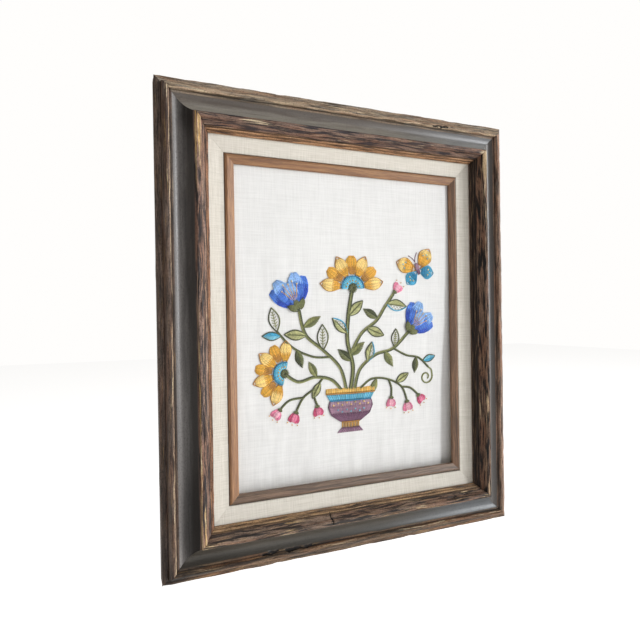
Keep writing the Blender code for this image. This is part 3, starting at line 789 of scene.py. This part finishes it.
def crewel_wool_material():
    """Matt wool: the strand's own colour, two plies that twist round each other, loose fibres. The twist also
    darkens the colour in the valleys between the plies: painted shade.
    """
    material, tree, shader = new_material("crewel_wool")
    dye_and_shade = node(tree, "VertexColor", layer_name="wool_colour").outputs[0]
    along, around = uv_parts(tree)
    ply = maths("SINE", around * (4 * math.pi) + along * (2 * math.pi / (2.0 * MM)))
    fibre = grain_noise(tree, node(tree, "TexCoord").outputs["Object"], 2600.0, 2.0)
    shade = ply * 0.16 + fibre * 0.5 + 0.72
    tint = node(tree, "CombineColor", {0: shade, 1: shade, 2: shade}).outputs[0]
    coloured = node(tree, "Mix", {0: 1.0, 6: dye_and_shade, 7: tint}, data_type="RGBA", blend_type="MULTIPLY")
    feed(tree, shader, {
        "Base Color": coloured.outputs[2],
        "Roughness": 0.85,
        "Sheen Weight": 0.25,
        "Sheen Roughness": 0.6,
        "Normal": bumped(ply * 0.5 + fibre, 0.5, 0.15 * MM),
    })
    return material


CREWEL_WOOL = crewel_wool_material()


def wool_piece(name, work):
    """All the strands of a piece as one mesh, sewn to the linen."""
    curve = bpy.data.curves.new(name, "CURVE")
    curve.dimensions = "3D"
    curve.bevel_depth = 1.0
    curve.bevel_resolution = 1
    for points, colour in work.strands:
        spline = curve.splines.new("POLY")
        spline.points.add(len(points) - 1)
        for bend, (place, radius) in zip(spline.points, points):
            bend.co = (*place, 1.0)
            bend.radius = radius
    mould = placed(name, curve)
    mesh = bpy.data.meshes.new_from_object(mould.evaluated_get(bpy.context.evaluated_depsgraph_get()))
    bpy.data.objects.remove(mould)

    dye_and_shade = mesh.color_attributes.new("wool_colour", "FLOAT_COLOR", "POINT")
    colours = []
    lengths = []
    for points, colour in work.strands:
        colours += list(colour) * (len(points) * 6)
        length = measured([place for place, radius in points])[1]
        lengths += [length] * ((len(points) - 1) * 24)
    dye_and_shade.data.foreach_set("color", colours)
    layout = mesh.uv_layers["UVMap"].data
    for loop, length in zip(layout, lengths):
        loop.uv.x *= length

    builder = bmesh.new()
    builder.from_mesh(mesh)
    ends = [edge for edge in builder.edges if edge.is_boundary]
    bmesh.ops.holes_fill(builder, edges=ends, sides=6)
    bmesh.ops.recalc_face_normals(builder, faces=builder.faces)
    bpy.data.meshes.remove(mesh)
    piece = shaped(builder, name)
    piece.data.materials.append(CREWEL_WOOL)
    piece.parent = linen
    return piece


stems = Needlework(11)
for rows, points in STEMS:
    stem_stitch(stems, flowing_line(points, 12), STEM_SHADES, rows)
wool_piece("wool_stems", stems)


# The leaves are worked in six ways: solid fishbone stitch in one green or two, pale ones with a
# dark outline, half filled ones edged in turquoise, open ones with a sprig, and turquoise buds.
PALE_LEAF = srgb("b9b982")
TURQUOISE = srgb("46a5c8")
LIGHT_TURQUOISE = srgb("82c8dc")
DARK_TURQUOISE = srgb("1e82aa")
# Leaf: across, up, angle, length, width, look
LEAVES = (
    (-1, -34, 40, 24, 11, "solid"),
    (1, -40, 140, 22, 10, "dark"),
    (-4, -8, 136, 26, 11, "edged"),
    (-3, 12, 44, 25, 11, "pale"),
    (-34, -26, 92, 29, 13, "open"),
    (-58, 0, 30, 24, 10, "solid"),
    (-54, -9, 176, 26, 11, "pale"),
    (-66, -25, -70, 21, 10, "dark"),
    (-88, -4, 104, 27, 12, "open"),
    (-84, -9, 178, 21, 9, "bud"),
    (-42, -56, 118, 20, 9, "solid"),
    (-38, -62, -118, 20, 9, "pale"),
    (22, -42, 76, 24, 11, "edged"),
    (44, -30, -58, 22, 10, "solid"),
    (58, -26, 86, 22, 10, "open"),
    (88, -39, -96, 19, 9, "dark"),
    (98, -44, 18, 18, 8, "bud"),
    (20, -2, -22, 25, 11, "pale"),
    (35, 9, 150, 22, 10, "dark"),
    (46, 26, -8, 28, 13, "edged"),
    (34, -62, -112, 20, 9, "solid"),
    (60, -68, 30, 20, 9, "pale"),
)
FISHBONE_PITCH = 1.15
FISHBONE_SLANT = 0.9


def heading(turn):
    return Vector((math.cos(turn), math.sin(turn)))


def half_width(shape, share):
    """Half the width of a pointed oval at a share of its length; belly is where it is widest."""
    root, angle, length, width, belly = shape
    return width / 2 * math.sin(math.pi * limited(share) ** (math.log(0.5) / math.log(belly)))


def spot_in(shape, share, aside):
    """The spot at a share of the oval's length, aside of its midrib by a share of its half width."""
    root, angle, length, width, belly = shape
    along = heading(math.radians(angle))
    out = Vector((-along.y, along.x))
    return root + along * (share * length) + out * (aside * half_width(shape, share))


def straight(start, end):
    return lambda share: start.lerp(end, share)


def edge_line(shape, side, steps=16):
    return [spot_in(shape, step / steps, side) for step in range(steps + 1)]


def fishbone(work, shape, side, colour, level=0.0):
    """Slanting stitches from the edge of one side down to the midrib."""
    length = shape[2]
    count = round(length / FISHBONE_PITCH)
    for step in range(count):
        share = (step + 0.7) / count
        rib = max(0.0, share - FISHBONE_SLANT * half_width(shape, share) / length)
        start = spot_in(shape, share, side * work.draw.uniform(0.96, 1.04))
        lay(work, straight(start, spot_in(shape, rib, -0.1 * side)), colour, level)


def seeds(work, shape, side, colour):
    """Short scattered stitches in one half of a leaf."""
    for step in range(9):
        share = 0.18 + 0.075 * step
        spot = spot_in(shape, share, side * (0.35 if step % 2 else 0.68))
        reach = heading(work.draw.uniform(0.0, math.pi)) * 0.9
        lay(work, straight(spot - reach, spot + reach), colour, 0.0, 0.8)


def sprig(work, shape, side, colour):
    """Fly stitches up the middle of an open leaf."""
    for step in range(6):
        share = 0.22 + 0.11 * step
        for aside in (-0.55, 0.55):
            tip = spot_in(shape, share + 0.07, aside)
            lay(work, straight(tip, spot_in(shape, share, 0.0)), colour, 0.0, 0.8)
        lay(work, straight(spot_in(shape, share, 0.0), spot_in(shape, share - 0.09, 0.0)), colour, 0.0, 0.8)


def rib(work, shape, side, colour):
    """A line up the midrib. It lies higher on a leaf that is filled on both sides, side 1."""
    spots = [spot_in(shape, 0.05 * step, 0.0) for step in range(18)]
    stem_stitch(work, spots, [colour], level=0.7 if side else 0.3)


def outline(work, shape, side, colour):
    stem_stitch(work, edge_line(shape, side), [colour])


OUTLINED = ((outline, 1, DARK_OLIVE), (outline, -1, DARK_OLIVE))
# Looks: the stitches of a leaf in their order, each with its side and colour
LOOKS = {
    "solid": ((fishbone, 1, LIGHT_OLIVE), (fishbone, -1, OLIVE)),
    "dark": ((fishbone, 1, OLIVE), (fishbone, -1, DARK_OLIVE)),
    "pale": ((fishbone, 1, PALE_LEAF), (fishbone, -1, PALE_LEAF), (rib, 1, OLIVE), *OUTLINED),
    "edged": (
        (fishbone, 1, PALE_LEAF), (seeds, -1, LIGHT_OLIVE),
        (outline, -1, TURQUOISE), (rib, 0, OLIVE), OUTLINED[0],
    ),
    "open": ((sprig, 1, LIGHT_OLIVE), (outline, -1, OLIVE), OUTLINED[0]),
    "bud": ((fishbone, 1, LIGHT_TURQUOISE), (fishbone, -1, TURQUOISE), *OUTLINED[::-1]),
}

leaves = Needlework(23)
for across, up, angle, length, width, look in LEAVES:
    for stitch, side, colour in LOOKS[look]:
        stitch(leaves, (Vector((across, up)), angle, length, width, 0.5), side, colour)
wool_piece("wool_leaves", leaves)


# The two fan flowers have seven petals of long and short stitch, shaded from ochre to pale gold,
# a half disc of turquoise buttonhole stitch over their roots, gold knots and a green cup.
OCHRE = srgb("b98438")
GOLD = srgb("e1aa3c")
LIGHT_GOLD = srgb("f3d383")
# Fan flower: across, up, angle, size
FAN_FLOWERS = ((2, 44, 92, 42), (-80, -50, 168, 38))
FAN_PETALS = 7
FAN_SPREAD = 27
FAN_START = 0.20
FAN_LENGTH = 0.76
FAN_WIDTH = 0.34
FAN_BELLY = 0.62


def long_and_short(work, shape, shades, level=0.0):
    """Stitches run up a petal side by side, and the rows mesh where one shade meets the next."""
    root, angle, length, width, belly = shape
    lines = max(3, round(width / 1.05))
    rows = len(shades)
    for line in range(lines):
        aside = (2 * line + 1) / lines - 1
        room = 0.62 if line % 2 else 0.34
        fitting = [step / 40 for step in range(41) if 2 * half_width(shape, step / 40) / lines > room * 1.05]
        if not fitting:
            continue
        low, high = max(0.02, fitting[0]), min(0.985, fitting[-1] + 0.01)
        marks = [low]
        for row in range(1, rows):
            mark = row / rows + (0.045 if line % 2 else -0.045) + work.draw.uniform(-0.015, 0.015)
            marks.append(min(max(mark, low), high))
        marks.append(high)
        for row in range(rows):
            start, end = marks[row] - (0.02 if row else 0.0), marks[row + 1]
            if (end - start) * length > 1.6:
                lay(work, lambda share: spot_in(shape, start + (end - start) * share, aside),
                    shades[row], level + 0.06 * row)


def knot(work, spot, colour, level=0.0, size=1.0):
    """A French knot: the wool wound twice into a small raised coil."""
    first = work.draw.uniform(0.0, 2 * math.pi)
    points = []
    for step in range(12):
        place = spot + heading(first + step * 2 * math.pi / 5.5) * (size * (0.62 - 0.02 * step))
        points.append((on_linen(place, level + 0.25 + 0.055 * step), 0.42 * size * MM))
    work.add(points, colour)


def toward(centre, angle, distance):
    return centre + heading(math.radians(angle)) * distance


def spokes(work, centre, angle, spread, near, far, count, shades, level):
    """Stitches that stand round a centre between two distances, as in buttonhole stitch."""
    for step in range(count):
        lean = angle - spread / 2 + spread * step / (count - 1)
        start = toward(centre, lean, near * work.draw.uniform(0.9, 1.1))
        end = toward(centre, lean, far * work.draw.uniform(0.96, 1.03))
        lay(work, straight(start, end), shades[step % len(shades)], level)


fans = Needlework(37)
for across, up, angle, size in FAN_FLOWERS:
    centre = Vector((across, up))
    for petal in range(FAN_PETALS):
        lean = angle + (petal - (FAN_PETALS - 1) / 2) * FAN_SPREAD
        shape = (toward(centre, lean, size * FAN_START), lean, size * FAN_LENGTH, size * FAN_WIDTH, FAN_BELLY)
        if petal % 2:
            long_and_short(fans, shape, (OCHRE, GOLD))
        else:
            long_and_short(fans, shape, (GOLD, LIGHT_GOLD), 0.35)
            for side in (-1, 1):
                stem_stitch(fans, edge_line(shape, side), [OCHRE], level=0.3, girth=1.0)
    arc = [toward(centre, angle - 92 + 184 * step / 24, size * 0.33) for step in range(25)]
    spokes(fans, centre, angle, 184, size * 0.13, size * 0.33, 38, (TURQUOISE, LIGHT_TURQUOISE), 0.95)
    stem_stitch(fans, arc, [DARK_TURQUOISE], level=1.3)
    for step in range(7):
        knot(fans, toward(centre, angle - 78 + 26 * step, size * 0.20), GOLD, 1.7)
    spokes(fans, centre, angle, 340, size * 0.03, size * 0.14, 18, (OLIVE, DARK_OLIVE), 1.2)
wool_piece("wool_fan_flowers", fans)


# The two cup flowers have three layers of blue petals in long and short stitch, light in the
# middle and dark outside, gold stamens that end in knots, and green sepals.
ROYAL_BLUE = srgb("2850be")
MID_BLUE = srgb("4b7dd7")
LIGHT_BLUE = srgb("91b9eb")
# Cup flower: across, up, angle, size
CUP_FLOWERS = ((-63, 20, 116, 46), (77, -8, 48, 44))
# Petals: turns, width and length as shares of the flower's size, shades from root to tip, level
CUP_PETALS = (
    ((34, -34), 0.34, 0.90, (ROYAL_BLUE, ROYAL_BLUE, MID_BLUE), 0.0),
    ((17, -17), 0.40, 0.98, (ROYAL_BLUE, MID_BLUE, LIGHT_BLUE), 0.45),
    ((0,), 0.34, 0.78, (MID_BLUE, LIGHT_BLUE), 0.95),
)

cups = Needlework(41)
for across, up, angle, size in CUP_FLOWERS:
    centre = Vector((across, up))
    for leans, width, length, shades, level in CUP_PETALS:
        for lean in leans:
            long_and_short(cups, (centre, angle + lean, size * length, size * width, 0.56), shades, level)
    for lean, reach in ((-20, 0.62), (-10, 0.70), (0, 0.66), (10, 0.71), (20, 0.61)):
        start, end = toward(centre, angle + lean * 0.4, size * 0.22), toward(centre, angle + lean, size * reach)
        lay(cups, straight(start, end), GOLD, 1.6, 0.8)
        knot(cups, end, LIGHT_GOLD, 1.6)
    for lean in (-44, 0, 44):
        sepal = (toward(centre, angle, -1.5), angle + lean, size * 0.34, size * 0.15, 0.5)
        long_and_short(cups, sepal, (OLIVE,), 1.35)
        stem_stitch(cups, edge_line(sepal, 1), [DARK_OLIVE], level=1.35, girth=0.9)
wool_piece("wool_cup_flowers", cups)


# The bell flowers hang from the thin stems. Each has two side petals in satin stitch, a paler
# one between them, a green cap and three gold knots at its mouth.
PINK = srgb("e182a0")
DEEP_ROSE = srgb("cd5078")
LIGHT_PINK = srgb("f0b4c3")
# Bell flower: across, up, angle, length
BELLS = (
    (75, -90, -80, 16),
    (90, -84, -50, 15),
    (54, -84, -92, 15),
    (-66, -92, -110, 16),
    (-84, -88, -130, 15),
    (-42, -87, -80, 15),
    (56, 38, 52, 16),
)

bells = Needlework(53)
for place, (across, up, angle, length) in enumerate(BELLS):
    centre = Vector((across, up))
    outer, inner = ((DEEP_ROSE, PINK) if place % 2 else (PINK, LIGHT_PINK))
    for lean in (-19, 19):
        long_and_short(bells, (centre, angle + lean, length, length * 0.44, 0.62), (outer,))
    long_and_short(bells, (centre, angle, length * 0.92, length * 0.40, 0.6), (inner,), 0.55)
    spokes(bells, centre, angle, 96, 0.4, length * 0.26, 7, (OLIVE, DARK_OLIVE), 0.9)
    for lean in (-22, 0, 22):
        knot(bells, toward(centre, angle + lean, length * 1.02), GOLD, 0.2, 0.8)
wool_piece("wool_bell_flowers", bells)


# The butterfly has gold upper wings and turquoise lower ones, each with an outline and knots,
# a body of mauve satin stitch, and two fine feelers.
MAUVE = srgb("a07d91")
DARK_MAUVE = srgb("7d556e")
BUTTERFLY = (90, 66, 110, 31)
# Wings: turns, length and width as shares of the upper wings' length, shades, edge's shade, level
WINGS = (
    ((118, -118), 0.72, 0.52, (DARK_TURQUOISE, TURQUOISE), TURQUOISE, 0.0),
    ((52, -52), 1.0, 0.58, (OCHRE, GOLD, LIGHT_GOLD), OCHRE, 0.3),
)

butterfly = Needlework(67)
across, up, body, size = BUTTERFLY
centre = Vector((across, up))
for leans, length, width, shades, edge, level in WINGS:
    for lean in leans:
        wing = (centre, body + lean, size * length, size * width, 0.62)
        long_and_short(butterfly, wing, shades, level)
        for side in (-1, 1):
            stem_stitch(butterfly, edge_line(wing, side), [edge], level=level, girth=1.0)
        for share, aside in ((0.62, -0.4), (0.72, 0.0), (0.62, 0.4)):
            colour = LIGHT_TURQUOISE if level else LIGHT_GOLD
            knot(butterfly, spot_in(wing, share, aside), colour, level + 0.9)
trunk = (toward(centre, body, -9.0), body, 20.0, 5.6, 0.6)
long_and_short(butterfly, trunk, (DARK_MAUVE, MAUVE), 1.0)
for lean in (-24, 24):
    brow = toward(centre, body, 10.0)
    feeler = [toward(brow, body + lean * (0.4 + 0.12 * step), 1.7 * step) for step in range(8)]
    stem_stitch(butterfly, feeler, [DARK_MAUVE], girth=0.8)
    knot(butterfly, feeler[-1], DARK_MAUVE, 0.0, 0.8)
wool_piece("wool_butterfly", butterfly)


# The footed vase is worked in bands: a gold rim, a turquoise neck, a mauve body shaded in long
# and short stitch under two rows of knots, a gold waist and a mauve foot.
PLUM = srgb("6b4560")
LIGHT_MAUVE = srgb("bfa2b3")
# Height and half width, from the rim to the foot
VASE_OUTLINE = (
    (-71, 31), (-76, 32), (-79, 27), (-85, 26), (-92, 28),
    (-101, 24), (-109, 12), (-113, 6), (-117, 12), (-122, 17),
)
# Band: top, bottom and shades in turn
VASE_BANDS = (
    (-70.5, -76.5, (GOLD, LIGHT_GOLD)),
    (-76.5, -84.5, (TURQUOISE, LIGHT_TURQUOISE)),
    (-84.5, -91.5, (LIGHT_MAUVE, MAUVE)),
    (-91.0, -99.5, (MAUVE,)),
    (-99.0, -109.5, (DARK_MAUVE, PLUM)),
    (-109.5, -116.5, (GOLD, OCHRE)),
    (-116.5, -122.0, (MAUVE, DARK_MAUVE)),
)
VASE_PITCH = 1.12


def vase_half(height):
    """Half the vase's width at a height."""
    for (top, wide), (bottom, narrow) in zip(VASE_OUTLINE, VASE_OUTLINE[1:]):
        if bottom <= height <= top:
            return wide + (narrow - wide) * (top - height) / (top - bottom)
    return VASE_OUTLINE[0][1] if height > VASE_OUTLINE[0][0] else VASE_OUTLINE[-1][1]


vase = Needlework(79)
for top, bottom, shades in VASE_BANDS:
    middle = (top + bottom) / 2
    count = round(2 * vase_half(middle) / VASE_PITCH)
    for step in range(count):
        aside = (2 * step + 1) / count - 1
        mesh_in = 0.7 if step % 2 else -0.4
        high = Vector((aside * vase_half(top), top + vase.draw.uniform(-0.2, 0.3)))
        low = Vector((aside * vase_half(bottom), bottom - (mesh_in if bottom > -109 and top < -80 else 0.0)))
        lay(vase, straight(high, low), shades[step % len(shades)], 0.1)
for height, shade in ((-76.5, OCHRE), (-84.5, DARK_TURQUOISE), (-109.5, OCHRE), (-116.5, PLUM)):
    reach = vase_half(height)
    line = [Vector((-reach, height)), Vector((0, height - 0.6)), Vector((reach, height))]
    stem_stitch(vase, line, [shade], level=0.8)
for side in (-1, 1):
    profile = [Vector((side * half, height)) for height, half in VASE_OUTLINE[3:7]]
    stem_stitch(vase, profile, [PLUM], level=0.3)
for count, height, lift, colour in ((9, -88.5, -1.2, LIGHT_GOLD), (7, -96.5, 1.2, LIGHT_TURQUOISE)):
    for step in range(count):
        across = 5.5 * (step - (count - 1) / 2)
        knot(vase, Vector((across, height + lift * math.cos(step * math.pi))), colour, 1.2, 1.15)
wool_piece("wool_vase", vase)


# A tendril in one row of light stem stitch curls at the end of the lower right stem.
CURL_CENTRE = Vector((103, -64))
CURL_RADIUS = 9.0
CURL_TURNS = 1.2

tendril = [Vector((106, -52)), Vector((110.5, -55.5))]
for step in range(31):
    share = step / 30
    out = heading(math.radians(20 - 360 * CURL_TURNS * share))
    tendril.append(CURL_CENTRE + out * CURL_RADIUS * (1 - 0.72 * share))
curl = Needlework(83)
stem_stitch(curl, tendril, [LIGHT_OLIVE, OLIVE], 2, 0.95)
wool_piece("wool_tendril", curl)


# The plain pale floor, soft light and the camera stand where the picture was looked at from its
# left front. The main light is a tall, narrow one at the right, as a window would be.
FLOOR_DROP = 0.22
FLOOR_SIZE = 6.0
FLOOR_GLOW = 0.66
FLOOR_GLOW_SEEN = 0.82
ROOM_GLOW = 0.12
DAY_WHITE = (0.95, 0.975, 1.0)
WARM_WHITE = (1.0, 0.99, 0.975)
# Light: place from the middle of the picture, width and height, power and colour
LIGHTS = {
    "window": ((4.35, -4.5, 1.0), (1.0, 3.3), 230.0, DAY_WHITE),
    "bright_wall": ((2.8, -1.1, 0.3), (1.8, 2.2), 36.5, WARM_WHITE),
    "ceiling": ((0.0, -1.3, 2.8), (2.2, 1.8), 19.0, WARM_WHITE),
}
CAMERA_PLACE = (-0.2473, -0.5285, FRAME_MIDDLE + 0.0106)
CAMERA_YAW = 21.93
CAMERA_PITCH = -0.26
CAMERA_ROLL = -0.90
CAMERA_LENS = 28.125


def brighter_seen(tree, level, seen_level):
    """One level for the light that is given, and another for what the camera sees."""
    seen = node(tree, "LightPath").outputs["Is Camera Ray"]
    return node(tree, "MapRange", {0: seen, 1: 0.0, 2: 1.0, 3: level, 4: seen_level}).outputs[0]


def pale_floor():
    builder = bmesh.new()
    bmesh.ops.create_grid(builder, x_segments=1, y_segments=1, size=FLOOR_SIZE)
    builder.transform(Matrix.Translation((0, 0, FRAME_FOOT - FLOOR_DROP)))
    piece = shaped(builder, "floor")
    material, tree, shader = new_material("pale_floor")
    feed(tree, shader, {
        "Base Color": (0.93, 0.93, 0.93, 1.0),
        "Roughness": 0.9,
        "Emission Color": (*WARM_WHITE, 1.0),
        "Emission Strength": brighter_seen(tree, FLOOR_GLOW, FLOOR_GLOW_SEEN),
    })
    piece.data.materials.append(material)


def white_room():
    world = bpy.data.worlds.new("white_room")
    world.use_nodes = True
    tree = world.node_tree
    strength = brighter_seen(tree, ROOM_GLOW, 1.0)
    feed(tree, tree.nodes["Background"], {"Color": (*WARM_WHITE, 1.0), "Strength": strength})
    bpy.context.scene.world = world


def soft_light(name, place, size, power, colour):
    """A rectangle of light that faces the middle of the picture."""
    data = bpy.data.lights.new(name, "AREA")
    data.shape = "RECTANGLE"
    data.size, data.size_y = size
    data.energy = power
    data.color = colour
    lamp = placed(name, data)
    lamp.location = Vector(place) + Vector((0, 0, FRAME_MIDDLE))
    lamp.rotation_euler = (-Vector(place)).to_track_quat("-Z", "Y").to_euler()


def photo_camera():
    data = bpy.data.cameras.new("camera")
    data.sensor_width = 36.0
    data.lens = CAMERA_LENS
    data.clip_start = 0.01
    camera = placed("camera", data)
    turn = Matrix.Rotation(-math.radians(CAMERA_YAW), 4, "Z")
    turn @= Matrix.Rotation(math.radians(90 + CAMERA_PITCH), 4, "X")
    turn @= Matrix.Rotation(math.radians(CAMERA_ROLL), 4, "Z")
    camera.matrix_world = Matrix.Translation(CAMERA_PLACE) @ turn
    bpy.context.scene.camera = camera


pale_floor()
white_room()
for name, light in LIGHTS.items():
    soft_light(name, *light)
photo_camera()
bpy.context.scene.view_settings.view_transform = "Standard"
